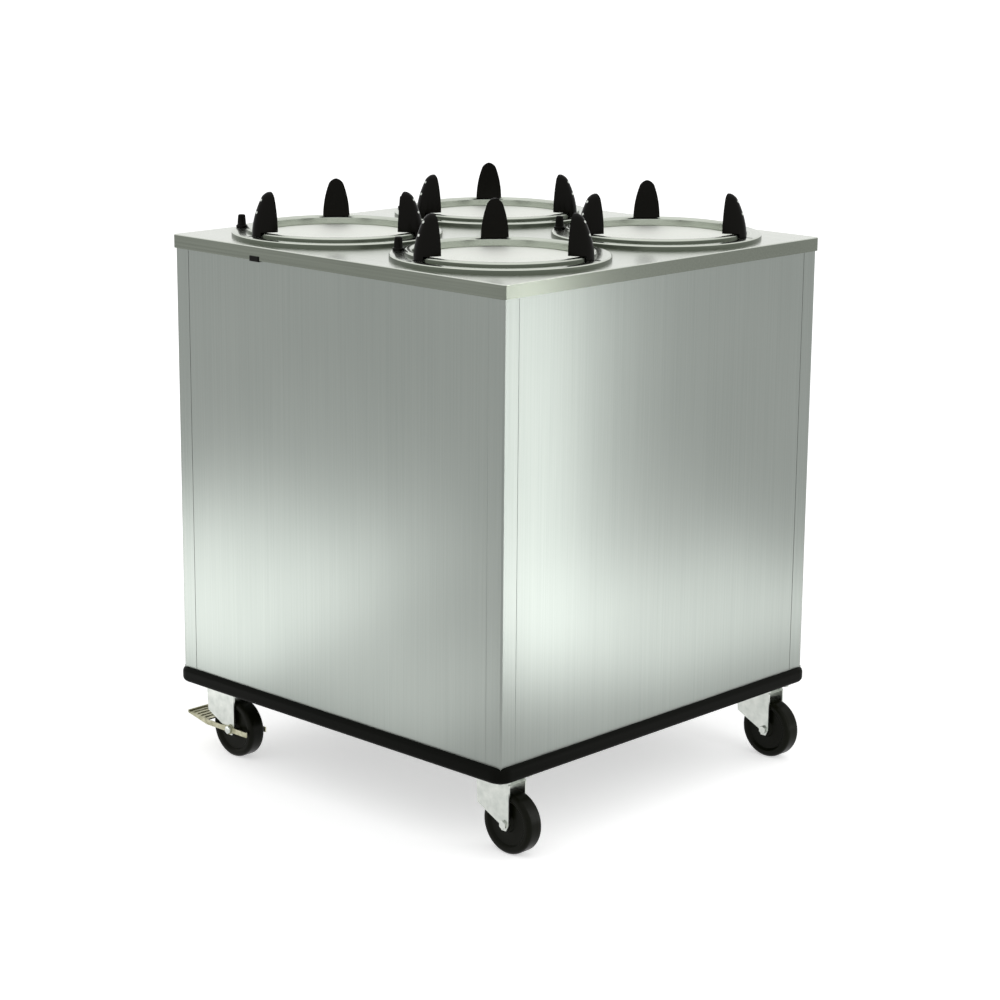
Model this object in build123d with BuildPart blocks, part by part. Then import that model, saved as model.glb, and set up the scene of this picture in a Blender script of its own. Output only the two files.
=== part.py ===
from build123d import *
import math
import os

# Self-levelling plate dispenser cart: a square stainless cabinet on four swivel casters.
# Four drop-in dispensers hang from its deck. Each has a spring-carried platform, three
# black plate guides that a cam ring moves in or out together, and a knob that clamps them.
# Millimetres. The origin is on the floor under the cabinet's centre. -Y is the front.

os.makedirs("parts", exist_ok=True)

# ---- cabinet ----
deck_side = 770.0
deck_height = 914.0
deck_sheet = 2.0
deck_corner_radius = 4.0
deck_edge = 1.3
skirt_height = 23.0
skirt_gap = 1.0
panel_sheet = 1.5
panel_return = 15.0
bend_radius = 1.4
post_width = 32.0
post_corner_radius = 3.0
stiffener_width = 44.0
stiffener_depth = 22.0

# ---- base frame and bumper ----
base_height = 28.0
base_sheet = 2.5
base_flange = 40.0
cross_member_width = 50.0
gusset_side = 122.0
gusset_sheet = 3.0
bumper_height = 26.0
bumper_thickness = 10.0
bumper_corner_radius = 26.0
bumper_edge = 5.0

# ---- edge clip on the front skirt ----
clip_width = 22.0
clip_height = 9.0
clip_thickness = 2.0
clip_offset = 178.0

# ---- casters ----
wheel_radius = 50.8
wheel_width = 32.0
wheel_shoulder = 7.0
wheel_sides = 32
caster_height = 130.0
caster_inset = 55.0
caster_trail = 30.0
axle_radius = 4.0
running_clearance = 0.05
fork_sheet = 3.0
fork_wheel_gap = 1.5
fork_front = 31.0
fork_knee_height = 74.0
fork_tip_radius = 10.0
crown_sheet = 4.0
race_radius = 27.0
race_sides = 16
race_height = 6.0
race_gap = 0.3
plate_length = 98.0
plate_width = 68.0
plate_sheet = 3.0
plate_corner = 8.0
axle_stub = 1.5

# ---- brake pedals ----
pedal_sheet = 2.5
pedal_side_gap = 0.3
pedal_arm_height = 9.0
pedal_boss = 18.0
pedal_rear_reach = 45.0
pedal_toe_reach = 110.8
pedal_pad_length = 50.0
pedal_pad_lift = 4.0
pedal_toe_lip = 5.0

# ---- dispenser rings ----
round_sides = 24
well_pitch = 380.0
deck_hole_radius = 160.0
ring_radius = 177.0
ring_rise = 8.0
ring_sheet = 1.5
ring_edge = 2.0
throat_radius = 140.0
lip_width = 12.8
lip_height = 15.0
lip_slope = 3.2
lip_shoulder_height = 10.0
collar_depth = 24.0

# ---- plate guides, cam rings and clamp knobs ----
first_guide_angle = 18.0
plate_radius = 127.0
guide_half_width = 23.0
guide_tip_half_width = 6.5
guide_width_power = 2.0
guide_heel = 3.5
guide_tip_depth = 8.0
guide_depth_power = 1.7
guide_top = 80.0
guide_steps = 4
guide_facets = 6
guide_gap = 0.3
guide_pin_radius = 2.5
guide_pin_orbit = 157.5
guide_travel = 12.0
cam_turn = 30.0
cam_sheet = 2.0
cam_gap = 0.3
cam_radius = 174.4
slot_clearance = 0.3
slot_overrun = 1.2
slot_steps = 6
stud_radius = 3.0
stud_reach = 14.0
knob_angle = 216.0
knob_orbit = 164.2
knob_base_radius = 9.5
knob_base_height = 4.5
knob_grip_radius = 7.5
knob_height = 22.0
knob_taper = 5.0
knob_sides = 12

# ---- cages, carriers and springs ----
rail_width = 12.0
rail_depth = 6.0
rail_orbit = 150.0
cage_foot_radius = 158.0
cage_foot_height = 20.0
cage_foot_sheet = 3.0
carrier_travel = 440.0
carrier_drop = 262.0
carrier_stop_gap = 2.0
platform_radius = 134.0
platform_sheet = 3.0
leg_width = 25.0
leg_sheet = 3.0
leg_orbit = 121.5
shoe_gap = 0.3
shoe_wall = 5.0
shoe_height = 40.0
lug_sheet = 3.0
lug_outer = 155.0
lug_inner = 139.5
lug_half_width = 34.0
spring_radius = 5.0
spring_offset = 26.0
spring_orbit = 148.0
spring_gap = 0.3
spring_sides = 6

# ---- places that follow from the sizes above ----
body_side = deck_side - 2 * (deck_sheet + skirt_gap)
half_body = body_side / 2
deck_underside = deck_height - deck_sheet
base_bottom = caster_height
base_top = base_bottom + base_height
caster_offset = deck_side / 2 - caster_inset
plate_underside = caster_height - plate_sheet
race_underside = plate_underside - race_height
fork_top = race_underside - race_gap
crown_underside = fork_top - crown_sheet
fork_inside = wheel_width / 2 + fork_wheel_gap
fork_outside = fork_inside + fork_sheet
corner_share = 1 / math.cos(math.pi / round_sides)
collar_radius = throat_radius + ring_sheet
lip_outside = throat_radius + lip_width
rim_top = deck_height + ring_rise
rim_bottom = rim_top - ring_sheet
guide_seat = rim_top + guide_gap
guide_depth = guide_pin_orbit + guide_heel - plate_radius
cam_bottom = deck_height + cam_gap
slot_width = 2 * (guide_pin_radius + slot_clearance)
guide_angles = [first_guide_angle + 120.0 * k for k in range(3)]
rail_angles = [angle + 60.0 for angle in guide_angles]
lug_top = deck_height - collar_depth
lug_bottom = lug_top - lug_sheet
carrier_bottom = deck_height - carrier_drop
carrier_plate_top = carrier_bottom + lug_sheet
cage_foot_top = carrier_bottom - carrier_travel - carrier_stop_gap

corners = {
    "front_left": (-1, -1),
    "front_right": (1, -1),
    "back_left": (-1, 1),
    "back_right": (1, 1),
}
braked_corners = ("front_left", "back_left")


def save(piece, name):
    piece.part.label = name
    export_step(piece.part, f"parts/{name}.step")


def level(x, y, z):
    """A horizontal plane whose origin stands at a point."""
    return Plane(origin=(x, y, z))


def upright(x, y):
    """A vertical plane along X through a point: its second axis is the height."""
    return Plane(origin=(x, y, 0), x_dir=(1, 0, 0), z_dir=(0, -1, 0))


def radial(x, y, z, angle):
    """A horizontal plane whose first axis points outwards at an angle."""
    turn = math.radians(angle)
    return Plane(origin=(x, y, z), x_dir=(math.cos(turn), math.sin(turn), 0), z_dir=(0, 0, 1))


# ---- deck: one pressed sheet with a turned-down skirt, four wells and a welded cross ----
with BuildPart() as deck:
    with BuildSketch(Plane.XY.offset(deck_height - skirt_height)):
        RectangleRounded(deck_side, deck_side, deck_corner_radius)
    extrude(amount=skirt_height)
    chamfer(deck.faces().sort_by(Axis.Z)[-1].edges(), length=deck_edge)
    with BuildSketch(Plane.XY.offset(deck_height - skirt_height)):
        inside = deck_side - 2 * deck_sheet
        Rectangle(inside, inside)
    extrude(amount=skirt_height - deck_sheet, mode=Mode.SUBTRACT)
    with BuildSketch(Plane.XY.offset(deck_underside - stiffener_depth)):
        stiffener_length = body_side - 2 * panel_return - 2 * deck_sheet
        Rectangle(stiffener_length, stiffener_width)
        Rectangle(stiffener_width, stiffener_length)
    extrude(amount=stiffener_depth)
    with BuildSketch(Plane.XY.offset(deck_underside - stiffener_depth + deck_sheet)):
        hollow = stiffener_width - 2 * deck_sheet
        Rectangle(stiffener_length, hollow)
        Rectangle(hollow, stiffener_length)
    extrude(amount=stiffener_depth - deck_sheet, mode=Mode.SUBTRACT)
    with BuildSketch(Plane.XY.offset(deck_underside)):
        with GridLocations(well_pitch, well_pitch, 2, 2):
            RegularPolygon(deck_hole_radius, round_sides, major_radius=False)
    extrude(amount=deck_sheet, mode=Mode.SUBTRACT)
save(deck, "deck")


# ---- side panels: four flat trays, their edges turned in and set between the posts ----
panel_width = body_side - 2 * post_width
panel_height = deck_underside - base_top
panel_planes = {
    "front_panel": Plane(origin=(0, -half_body, base_top), x_dir=(1, 0, 0), z_dir=(0, -1, 0)),
    "right_panel": Plane(origin=(half_body, 0, base_top), x_dir=(0, 1, 0), z_dir=(1, 0, 0)),
    "back_panel": Plane(origin=(0, half_body, base_top), x_dir=(-1, 0, 0), z_dir=(0, 1, 0)),
    "left_panel": Plane(origin=(-half_body, 0, base_top), x_dir=(0, -1, 0), z_dir=(-1, 0, 0)),
}
for panel_name, face_plane in panel_planes.items():
    with BuildPart() as panel:
        with BuildSketch(face_plane):
            Rectangle(panel_width, panel_height, align=(Align.CENTER, Align.MIN))
        extrude(amount=-panel_return)
        outer_face = panel.faces().sort_by(Axis(face_plane.origin, face_plane.z_dir))[-1]
        fillet(outer_face.edges().filter_by(Axis.Z), radius=bend_radius)
        with BuildSketch(face_plane.offset(-panel_sheet)):
            with Locations((0, panel_sheet)):
                Rectangle(
                    panel_width - 2 * panel_sheet,
                    panel_height - 2 * panel_sheet,
                    align=(Align.CENTER, Align.MIN),
                )
        extrude(amount=-(panel_return - panel_sheet), mode=Mode.SUBTRACT)
    save(panel, panel_name)


# ---- corner posts: folded angles whose ends turn in beside the panels ----
for corner, (sx, sy) in corners.items():
    outline = [
        (0, 0),
        (post_width, 0),
        (post_width, panel_return),
        (post_width - panel_sheet, panel_return),
        (post_width - panel_sheet, panel_sheet),
        (panel_sheet, panel_sheet),
        (panel_sheet, post_width - panel_sheet),
        (panel_return, post_width - panel_sheet),
        (panel_return, post_width),
        (0, post_width),
    ]
    with BuildPart() as post:
        with BuildSketch(Plane.XY.offset(base_top)):
            with BuildLine():
                points = [(sx * (half_body - u), sy * (half_body - v)) for u, v in outline]
                Polyline(points, close=True)
            make_face()
        extrude(amount=deck_underside - base_top)
        uprights = post.edges().filter_by(Axis.Z)
        outer_edge = uprights.sort_by_distance((sx * half_body, sy * half_body, base_top))[0]
        fillet(outer_edge, radius=post_corner_radius)
    save(post, f"post_{corner}")


# ---- base frame: a welded channel ring with a cross and four caster gussets ----
with BuildPart() as base_frame:
    opening = body_side - 2 * base_flange
    web_inside = body_side - 2 * base_sheet
    with BuildSketch(Plane.XY.offset(base_bottom)):
        Rectangle(body_side, body_side)
        Rectangle(opening, opening, mode=Mode.SUBTRACT)
    extrude(amount=base_height)
    with BuildSketch(Plane.XY.offset(base_bottom + base_sheet)):
        Rectangle(web_inside, web_inside)
    extrude(amount=base_height - 2 * base_sheet, mode=Mode.SUBTRACT)
    with BuildSketch(Plane.XY.offset(base_bottom)):
        Rectangle(web_inside, cross_member_width)
        Rectangle(cross_member_width, web_inside)
    extrude(amount=base_height - base_sheet)
    with BuildSketch(Plane.XY.offset(base_bottom)):
        cross_hollow = cross_member_width - 2 * base_sheet
        Rectangle(opening, cross_hollow)
        Rectangle(cross_hollow, opening)
    extrude(amount=base_height - 2 * base_sheet, mode=Mode.SUBTRACT)
    gusset_centre = half_body - base_sheet - gusset_side / 2
    with BuildSketch(Plane.XY.offset(base_bottom)):
        with GridLocations(2 * gusset_centre, 2 * gusset_centre, 2, 2):
            Rectangle(gusset_side, gusset_side)
    extrude(amount=gusset_sheet)
save(base_frame, "base_frame")


# ---- bumper: one moulded strip with rounded corners around the base frame ----
with BuildPart() as bumper:
    with BuildSketch(Plane.XY.offset(base_bottom)):
        bumper_side = body_side + 2 * bumper_thickness
        RectangleRounded(bumper_side, bumper_side, bumper_corner_radius)
    extrude(amount=bumper_height)
    chamfer(bumper.faces().filter_by(Axis.Z).edges(), length=bumper_edge, length2=bumper_edge)
    with BuildSketch(Plane.XY.offset(base_bottom)):
        Rectangle(body_side, body_side)
    extrude(amount=bumper_height, mode=Mode.SUBTRACT)
save(bumper, "bumper")


# ---- edge clip: a small moulded hook over the lower edge of the front skirt ----
with BuildPart() as skirt_clip:
    skirt_bottom = deck_height - skirt_height
    with BuildSketch(upright(-clip_offset, -deck_side / 2)):
        with Locations((0, skirt_bottom - clip_thickness)):
            Rectangle(clip_width, clip_height, align=(Align.CENTER, Align.MIN))
    extrude(amount=clip_thickness)
    front_face = skirt_clip.faces().sort_by(Axis.Y)[0]
    chamfer(front_face.edges(), length=clip_thickness / 2)
    with BuildSketch(Plane.XY.offset(skirt_bottom - clip_thickness)):
        with Locations((-clip_offset, -deck_side / 2)):
            Rectangle(clip_width, deck_sheet + skirt_gap, align=(Align.CENTER, Align.MIN))
    extrude(amount=clip_thickness)
save(skirt_clip, "skirt_clip")


# ---- dispenser ring: a spun flange with a flat rim, a raised lip and a deep collar ----
def disc(x, y, z, radius):
    """A large disc whose round_sides flats stand at the radius, its corners just outside it."""
    with BuildSketch(level(x, y, z)) as sketch:
        RegularPolygon(radius, round_sides, major_radius=False)
    return sketch.sketch


def make_ring(name, x, y):
    lip_top = deck_height + lip_height
    lip_shoulder = deck_height + lip_shoulder_height
    collar_bottom = deck_height - collar_depth
    with BuildPart() as ring:
        extrude(disc(x, y, collar_bottom, collar_radius), amount=lip_shoulder - collar_bottom)
        extrude(disc(x, y, deck_height, ring_radius), amount=ring_rise - ring_edge)
        extrude(disc(x, y, rim_top - ring_edge, ring_radius), amount=ring_edge, taper=45)
        outer_taper = math.degrees(math.atan2(lip_slope, lip_top - rim_top))
        extrude(disc(x, y, rim_top, lip_outside), amount=lip_top - rim_top, taper=outer_taper)
        hollow = disc(x, y, deck_height, ring_radius - ring_sheet)
        hollow -= disc(x, y, deck_height, collar_radius)
        extrude(hollow, amount=ring_rise - ring_sheet, mode=Mode.SUBTRACT)
        throat = disc(x, y, collar_bottom, throat_radius)
        extrude(throat, amount=lip_top - collar_bottom, mode=Mode.SUBTRACT)
        mouth = disc(x, y, lip_top, throat_radius + lip_slope)
        mouth_taper = math.degrees(math.atan2(lip_slope, lip_top - lip_shoulder))
        extrude(mouth, amount=lip_shoulder - lip_top, taper=mouth_taper, mode=Mode.SUBTRACT)
        for angle in guide_angles:
            with BuildSketch(radial(x, y, rim_bottom, angle)):
                with Locations((guide_pin_orbit + guide_travel / 2, 0)):
                    Rectangle(guide_travel + slot_width, slot_width)
            extrude(amount=ring_sheet, mode=Mode.SUBTRACT)
        with BuildSketch(level(x, y, rim_bottom)):
            with BuildLine():
                slot_start = knob_angle - cam_turn - slot_overrun
                CenterArc((0, 0), knob_orbit, slot_start, cam_turn + 2 * slot_overrun)
            trace(line_width=2 * (stud_radius + slot_clearance))
        extrude(amount=ring_sheet, mode=Mode.SUBTRACT)
    save(ring, name)


# ---- cam ring: a flat ring under the rim; its spiral slots drive the guides' pins ----
def make_cam(name, x, y):
    with BuildPart() as cam:
        with BuildSketch(level(x, y, cam_bottom)):
            RegularPolygon(cam_radius, round_sides)
            # the bore clears the collar's corners while the cam ring turns
            bore = collar_radius * corner_share + slot_clearance
            RegularPolygon(bore, round_sides, major_radius=False, mode=Mode.SUBTRACT)
        extrude(amount=cam_sheet)
        for angle in guide_angles:
            with BuildSketch(level(x, y, cam_bottom)):
                with BuildLine():
                    path = [spiral_point(angle, k / slot_steps) for k in range(slot_steps + 1)]
                    Polyline(*path)
                trace(line_width=slot_width)
            extrude(amount=cam_sheet, mode=Mode.SUBTRACT)
        with BuildSketch(radial(x, y, cam_bottom, knob_angle)):
            with Locations((knob_orbit, 0)):
                RegularPolygon(stud_radius, 8)
        extrude(amount=guide_seat + stud_reach - cam_bottom)
    save(cam, name)


def spiral_point(angle, share):
    """A point on a slot's centreline, which runs past the pin's place at both ends."""
    spread = slot_overrun / cam_turn
    along = -spread + share * (1 + 2 * spread)
    turn = math.radians(angle + cam_turn * along)
    orbit = guide_pin_orbit + guide_travel * along
    return (orbit * math.cos(turn), orbit * math.sin(turn))


# ---- clamp knob: a tapered grip with flats on a wider foot, over the cam ring's stud ----
def make_knob(name, x, y):
    with BuildPart() as knob:
        with BuildSketch(radial(x, y, guide_seat, knob_angle)):
            with Locations((knob_orbit, 0)):
                RegularPolygon(knob_base_radius, knob_sides)
        extrude(amount=knob_base_height, taper=knob_taper)
        with BuildSketch(radial(x, y, guide_seat + knob_base_height, knob_angle)):
            with Locations((knob_orbit, 0)):
                RegularPolygon(knob_grip_radius, knob_sides)
        extrude(amount=knob_height - knob_base_height, taper=knob_taper)
        with BuildSketch(radial(x, y, guide_seat, knob_angle)):
            with Locations((knob_orbit, 0)):
                RegularPolygon(stud_radius + running_clearance, 8, major_radius=False)
        extrude(amount=stud_reach + guide_gap, mode=Mode.SUBTRACT)
    save(knob, name)


# ---- plate guide: a moulded half-cone, flat towards the plates, on a foot with a pin ----
def guide_taper(foot, tip, power, rise):
    """A guide's half width or depth at a share of its height: it narrows faster near the top."""
    return foot - (foot - tip) * rise**power


def facing(x, y, z, angle):
    """An upright plane that faces outwards at an angle: its second axis is the height."""
    turn = math.radians(angle)
    outwards = (math.cos(turn), math.sin(turn), 0)
    return Plane(origin=(x, y, z), x_dir=(-math.sin(turn), math.cos(turn), 0), z_dir=outwards)


def make_guide(name, x, y, angle):
    height = deck_height + guide_top - guide_seat
    turns = [math.pi * (j / guide_facets - 0.5) for j in range(guide_facets + 1)]
    rises = [k / guide_steps for k in range(guide_steps + 1)]
    widths = [(guide_taper(guide_half_width, guide_tip_half_width, guide_width_power, r), r) for r in rises]
    depths = [(guide_taper(guide_depth, guide_tip_depth, guide_depth_power, r), r) for r in rises]
    with BuildPart() as guide:
        with BuildSketch(radial(x, y, guide_seat, angle)):
            with BuildLine():
                outline = [(guide_depth * math.cos(t), guide_half_width * math.sin(t)) for t in turns]
                Polyline([(plate_radius + u, v) for u, v in outline], close=True)
            make_face()
        extrude(amount=height)
        with BuildSketch(facing(x, y, guide_seat, angle - 90)):
            with BuildLine():
                side = [(plate_radius + depth, height * r) for depth, r in depths]
                Polyline([(plate_radius, 0), *side, (plate_radius, height)], close=True)
            make_face()
        extrude(amount=guide_half_width, both=True, mode=Mode.INTERSECT)
        with BuildSketch(facing(x, y, guide_seat, angle)):
            with BuildLine():
                right = [(width, height * r) for width, r in widths]
                left = [(-width, height * r) for width, r in reversed(widths)]
                Polyline([*right, *left], close=True)
            make_face()
        extrude(amount=plate_radius + guide_depth, mode=Mode.INTERSECT)
        with BuildSketch(radial(x, y, guide_seat, angle)):
            with Locations((plate_radius, 0)):
                bridge = lip_outside * corner_share + guide_gap - plate_radius
                Rectangle(bridge, 2 * guide_half_width, align=(Align.MIN, Align.CENTER))
        extrude(amount=lip_height - ring_rise, mode=Mode.SUBTRACT)
        with BuildSketch(radial(x, y, cam_bottom, angle)):
            with Locations((guide_pin_orbit, 0)):
                RegularPolygon(guide_pin_radius, 8)
        extrude(amount=guide_seat - cam_bottom)
    save(guide, name)


# ---- cage: three rails with a spring lug at each top and a six-sided bar foot ----
def make_cage(name, x, y):
    with BuildPart() as cage:
        with BuildSketch(radial(x, y, cage_foot_top - cage_foot_height, rail_angles[0])):
            RegularPolygon(cage_foot_radius, 6)
            RegularPolygon(cage_foot_radius - cage_foot_sheet, 6, mode=Mode.SUBTRACT)
        extrude(amount=cage_foot_height)
        for angle in rail_angles:
            with BuildSketch(radial(x, y, lug_bottom, angle)):
                with Locations((lug_inner, 0)):
                    lug_size = (lug_outer - lug_inner, 2 * lug_half_width)
                    Rectangle(*lug_size, align=(Align.MIN, Align.CENTER))
            extrude(amount=lug_sheet)
            with BuildSketch(radial(x, y, cage_foot_top - cage_foot_height, angle)):
                with Locations((rail_orbit, 0)):
                    Rectangle(rail_depth, rail_width)
            extrude(amount=lug_bottom - cage_foot_top + cage_foot_height)
    save(cage, name)


# ---- carrier: the plate platform on three legs, above a plate with the guide shoes ----
def make_carrier(name, x, y):
    with BuildPart() as carrier:
        extrude(disc(x, y, deck_height - platform_sheet, platform_radius), amount=platform_sheet)
        with BuildSketch(radial(x, y, carrier_bottom, rail_angles[0])):
            RegularPolygon(lug_inner, 6)
            RegularPolygon(lug_inner - leg_width, 6, mode=Mode.SUBTRACT)
        extrude(amount=lug_sheet)
        for angle in rail_angles:
            with BuildSketch(radial(x, y, carrier_bottom, angle)):
                with Locations((leg_orbit, 0)):
                    plate_size = (lug_outer - leg_orbit, 2 * lug_half_width)
                    Rectangle(*plate_size, align=(Align.MIN, Align.CENTER))
            extrude(amount=lug_sheet)
            with BuildSketch(radial(x, y, carrier_bottom, angle)):
                with Locations((leg_orbit, 0)):
                    Rectangle(leg_sheet, leg_width)
            extrude(amount=carrier_drop - platform_sheet)
            with BuildSketch(radial(x, y, carrier_bottom, angle)):
                with Locations((rail_orbit, 0)):
                    shoe_size = (rail_depth + 2 * shoe_wall, rail_width + 2 * shoe_wall)
                    Rectangle(*shoe_size)
            extrude(amount=shoe_height)
            with BuildSketch(radial(x, y, carrier_bottom, angle)):
                with Locations((rail_orbit, 0)):
                    Rectangle(rail_depth + 2 * shoe_gap, rail_width + 2 * shoe_gap)
            extrude(amount=shoe_height, mode=Mode.SUBTRACT)
    save(carrier, name)


# ---- springs: six extension springs from the cage's lugs to the carrier's plate ----
def make_springs(name, x, y):
    spring_bottom = carrier_plate_top + spring_gap
    with BuildPart() as springs:
        for angle in rail_angles:
            with BuildSketch(radial(x, y, spring_bottom, angle)):
                with Locations((spring_orbit, spring_offset), (spring_orbit, -spring_offset)):
                    RegularPolygon(spring_radius, spring_sides)
            extrude(amount=lug_bottom - spring_bottom)
    save(springs, name)


for corner, (sx, sy) in corners.items():
    well_x = sx * well_pitch / 2
    well_y = sy * well_pitch / 2
    make_ring(f"dispenser_ring_{corner}", well_x, well_y)
    make_cam(f"guide_cam_{corner}", well_x, well_y)
    make_knob(f"clamp_knob_{corner}", well_x, well_y)
    for letter, guide_angle in zip("abc", guide_angles):
        make_guide(f"plate_guide_{corner}_{letter}", well_x, well_y, guide_angle)
    make_cage(f"cage_{corner}", well_x, well_y)
    make_carrier(f"carrier_{corner}", well_x, well_y)
    make_springs(f"springs_{corner}", well_x, well_y)


# ---- caster top plates: each a pressed plate with its swivel race underneath ----
with BuildPart() as caster_plates:
    with BuildSketch(Plane.XY.offset(plate_underside)):
        with GridLocations(2 * caster_offset, 2 * caster_offset, 2, 2):
            Rectangle(plate_length, plate_width)
    extrude(amount=plate_sheet)
    chamfer(caster_plates.edges().filter_by(Axis.Z), length=plate_corner)
    with BuildSketch(Plane.XY.offset(race_underside)):
        with GridLocations(2 * caster_offset, 2 * caster_offset, 2, 2):
            RegularPolygon(race_radius, race_sides)
    extrude(amount=race_height)
save(caster_plates, "caster_top_plates")


# ---- caster fork: a pressed yoke with two tapered legs, and the axle fixed in its tips ----
def make_fork(name, x, y, arm_room):
    crown_rear = caster_trail + fork_tip_radius
    with BuildPart() as fork:
        with BuildSketch(upright(x, y)):
            with BuildLine():
                Polyline(
                    (-fork_front, fork_top),
                    (-fork_front, crown_underside),
                    (fork_sheet - fork_front, fork_knee_height),
                    (caster_trail - fork_tip_radius, wheel_radius),
                    (caster_trail - fork_tip_radius / 2, wheel_radius - fork_tip_radius),
                    (caster_trail + fork_tip_radius / 2, wheel_radius - fork_tip_radius),
                    (crown_rear, wheel_radius),
                    (crown_rear, fork_top - crown_sheet),
                    (crown_rear - crown_sheet, fork_top),
                    close=True,
                )
            make_face()
        extrude(amount=fork_outside, both=True)
        with BuildSketch(upright(x, y)):
            Rectangle(4 * wheel_radius, 2 * crown_underside)
        extrude(amount=fork_inside, both=True, mode=Mode.SUBTRACT)
        with BuildSketch(upright(x, y)):
            with Locations((caster_trail, wheel_radius)):
                Circle(axle_radius)
        extrude(amount=fork_outside + arm_room, both=True)
    save(fork, name)


# ---- wheel: a solid moulded wheel with bevelled shoulders, running on the axle ----
def make_wheel(name, x, y):
    with BuildPart() as wheel:
        with BuildSketch(upright(x, y)):
            with Locations((caster_trail, wheel_radius)):
                RegularPolygon(wheel_radius, wheel_sides)
        extrude(amount=wheel_width / 2, both=True)
        chamfer(wheel.faces().filter_by(Axis.Y).edges(), length=wheel_shoulder)
        with BuildSketch(upright(x, y)):
            with Locations((caster_trail, wheel_radius)):
                Circle(axle_radius + running_clearance)
        extrude(amount=wheel_width, both=True, mode=Mode.SUBTRACT)
    save(wheel, name)


# ---- brake pedal: a pressed yoke on the axle, with side arms and a toe pad that ends in a lip ----
def make_pedal(name, x, y):
    inside = fork_outside + pedal_side_gap
    outside = inside + pedal_sheet
    half_arm = pedal_arm_height / 2
    pad_start = caster_trail - pedal_toe_reach + pedal_pad_length
    toe = caster_trail - pedal_toe_reach
    toe_top = wheel_radius + half_arm + pedal_pad_lift
    with BuildPart() as pedal:
        with BuildSketch(upright(x, y)):
            with BuildLine():
                Polyline(
                    (caster_trail + pedal_rear_reach, wheel_radius - half_arm),
                    (caster_trail + pedal_rear_reach, wheel_radius + half_arm),
                    (pad_start, wheel_radius + half_arm),
                    (toe, toe_top),
                    (toe, toe_top - pedal_sheet),
                    (pad_start, wheel_radius - half_arm),
                    close=True,
                )
            make_face()
            with Locations((caster_trail, wheel_radius)):
                RegularPolygon(pedal_boss / 2, 8)
                Circle(axle_radius + running_clearance, mode=Mode.SUBTRACT)
        extrude(amount=outside, both=True)
        with BuildSketch(upright(x, y)):
            with Locations((pad_start, wheel_radius)):
                Rectangle(4 * wheel_radius, 4 * wheel_radius, align=(Align.MIN, Align.CENTER))
            with BuildLine():
                Polyline(
                    (pad_start, 0),
                    (pad_start, wheel_radius + half_arm - pedal_sheet),
                    (toe, toe_top - pedal_sheet),
                    (toe, 0),
                    close=True,
                )
            make_face()
        extrude(amount=inside, both=True, mode=Mode.SUBTRACT)
        with BuildSketch(upright(x, y)):
            with Locations((toe, toe_top - pedal_sheet)):
                Rectangle(pedal_sheet, pedal_toe_lip, align=(Align.MIN, Align.MIN))
        extrude(amount=outside, both=True)
    save(pedal, name)


for corner, (sx, sy) in corners.items():
    fork_x = sx * caster_offset
    fork_y = sy * caster_offset
    braked = corner in braked_corners
    arm_room = pedal_side_gap + pedal_sheet + axle_stub if braked else 0
    make_fork(f"caster_fork_{corner}", fork_x, fork_y, arm_room)
    make_wheel(f"wheel_{corner}", fork_x, fork_y)
    if braked:
        make_pedal(f"brake_pedal_{corner}", fork_x, fork_y)
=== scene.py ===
import math

import bpy
from mathutils import Euler, Matrix, Vector


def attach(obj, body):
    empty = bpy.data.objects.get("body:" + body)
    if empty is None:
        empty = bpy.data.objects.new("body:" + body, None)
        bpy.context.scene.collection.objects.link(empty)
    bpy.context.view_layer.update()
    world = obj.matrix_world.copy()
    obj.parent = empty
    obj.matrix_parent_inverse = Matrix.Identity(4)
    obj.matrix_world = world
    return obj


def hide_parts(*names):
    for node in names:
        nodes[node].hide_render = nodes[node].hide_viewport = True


# Self-levelling plate dispenser cart, put together from the base frame upwards, casters last.
# The frame is in metres, with +Z up, -Y the front and the floor at z = 0.

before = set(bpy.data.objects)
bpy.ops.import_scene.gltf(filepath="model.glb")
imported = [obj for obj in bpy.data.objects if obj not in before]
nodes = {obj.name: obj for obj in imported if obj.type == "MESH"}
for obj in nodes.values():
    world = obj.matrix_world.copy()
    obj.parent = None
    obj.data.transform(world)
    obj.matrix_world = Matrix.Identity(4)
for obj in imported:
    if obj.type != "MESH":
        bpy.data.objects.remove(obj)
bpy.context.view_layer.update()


# ---- base frame ----
# A ring of folded steel channel with a welded cross and four gussets for the casters.
# It is hot-rolled and pickled, so it is a dull, slightly mottled grey.
mm = 0.001


def finish_colour(hex_code):
    """Turns a colour written as sRGB hex into Blender's linear colour."""
    channels = [int(hex_code[i:i + 2], 16) / 255 for i in (1, 3, 5)]
    linear = [c / 12.92 if c <= 0.04045 else ((c + 0.055) / 1.055) ** 2.4 for c in channels]
    return (*linear, 1.0)


def new_finish(name):
    """Starts an empty material, with its output node ready."""
    finish = bpy.data.materials.new(name)
    finish.use_nodes = True
    finish.node_tree.nodes.clear()
    finish.node_tree.nodes.new("ShaderNodeOutputMaterial")
    return finish


def add_node(owner, kind, settings=None, links=None):
    """Adds one node: settings go to its properties or sockets, and links join its sockets."""
    tree = owner.node_tree
    new = tree.nodes.new(kind)
    for key, value in (settings or {}).items():
        if isinstance(key, str) and hasattr(new, key):
            setattr(new, key, value)
        else:
            new.inputs[key].default_value = value
    for key, source in (links or {}).items():
        tree.links.new(source, new.inputs[key])
    return new


def close_finish(finish, shader):
    """Joins a finish's shader to its output."""
    output = finish.node_tree.nodes["Material Output"]
    finish.node_tree.links.new(shader.outputs[0], output.inputs["Surface"])


def dress(names, finish):
    """Gives CAD nodes a finish, in the material slots that they have."""
    for name in names:
        node = nodes[name]
        if not node.material_slots:
            node.data.materials.append(finish)
        for slot in node.material_slots:
            slot.material = finish


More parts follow.
